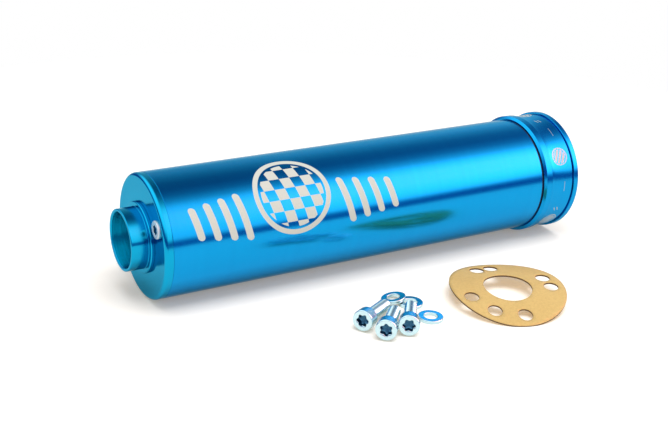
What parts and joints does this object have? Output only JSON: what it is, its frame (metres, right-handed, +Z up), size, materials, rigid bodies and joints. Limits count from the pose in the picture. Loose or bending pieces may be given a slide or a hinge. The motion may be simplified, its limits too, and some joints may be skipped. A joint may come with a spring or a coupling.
{
  "type": "kart silencer kit",
  "caption": "Round anodised two-stroke silencer with a stepped tail spigot and a flanged inlet cap, with its loose gasket, cap bolts and washers.",
  "frame": {"origin": "centre of the inlet face, on the silencer's axis", "axes": "+X along the silencer's axis, out of the inlet; +Y to the back; +Z up"},
  "size_m": [0.2475, 0.1365, 0.064],
  "materials": {
    "anodised_blue": "bright clear-blue anodised, fine turned lines",
    "zinc_steel": "bright zinc plate",
    "core_steel": "plain stainless",
    "glass_wool": "matted fibre",
    "seal_rubber": "matt",
    "gasket_sheet": "smooth fibre gasket sheet, golden tan"
  },
  "bodies": {
    "casing": {"outer_tube": "anodised_blue"},
    "outlet": {"outlet_cap": "anodised_blue", "outlet_seal": "seal_rubber"},
    "tail": {"tail_insert": "anodised_blue", "tail_seal": "seal_rubber"},
    "screw_front": {"tie_screw_front": "zinc_steel"},
    "screw_back": {"tie_screw_back": "zinc_steel"},
    "inlet": {"inlet_cap": "anodised_blue", "inlet_seal": "seal_rubber", "inlet_oring": "seal_rubber", "tie_rod_front": "core_steel", "tie_rod_back": "core_steel", "perforated_core": "core_steel", "core_wrap": "core_steel", "packing": "glass_wool"},
    "loose_gasket": {"gasket": "gasket_sheet"},
    "loose_bolt_1": {"bolt_1": "zinc_steel"},
    "loose_bolt_2": {"bolt_2": "zinc_steel"},
    "loose_bolt_3": {"bolt_3": "zinc_steel"},
    "loose_washer_1": {"washer_1": "zinc_steel"},
    "loose_washer_2": {"washer_2": "zinc_steel"},
    "loose_washer_3": {"washer_3": "zinc_steel"}
  },
  "joints": [
    {"name": "outlet_cap_slide", "type": "slide", "parent": "casing", "child": "outlet", "axis": [-1, 0, 0], "range_m": [0, 0.08]},
    {"name": "tail_insert_slide", "type": "slide", "parent": "outlet", "child": "tail", "axis": [-1, 0, 0], "range_m": [0, 0.03]},
    {"name": "screw_front_slide", "type": "slide", "parent": "outlet", "child": "screw_front", "axis": [-1, 0, 0], "range_m": [0, 0.045]},
    {"name": "screw_back_slide", "type": "slide", "parent": "outlet", "child": "screw_back", "axis": [-1, 0, 0], "range_m": [0, 0.045]},
    {"name": "inlet_cap_slide", "type": "slide", "parent": "casing", "child": "inlet", "axis": [1, 0, 0], "range_m": [0, 0.25]},
    {"name": "gasket_lift", "type": "slide", "parent": "casing", "child": "loose_gasket", "axis": [0, 0, 1], "range_m": [0, 0.03]},
    {"name": "bolt_1_lift", "type": "slide", "parent": "casing", "child": "loose_bolt_1", "axis": [0, 0, 1], "range_m": [0, 0.03]},
    {"name": "bolt_2_lift", "type": "slide", "parent": "casing", "child": "loose_bolt_2", "axis": [0, 0, 1], "range_m": [0, 0.03]},
    {"name": "bolt_3_lift", "type": "slide", "parent": "casing", "child": "loose_bolt_3", "axis": [0, 0, 1], "range_m": [0, 0.03]},
    {"name": "washer_2_lift", "type": "slide", "parent": "casing", "child": "loose_washer_2", "axis": [0, 0, 1], "range_m": [0, 0.03]},
    {"name": "washer_1_lift", "type": "slide", "parent": "loose_washer_2", "child": "loose_washer_1", "axis": [0, 0, 1], "range_m": [0, 0.03]},
    {"name": "washer_3_lift", "type": "slide", "parent": "casing", "child": "loose_washer_3", "axis": [0, 0, 1], "range_m": [0, 0.03]}
  ]
}
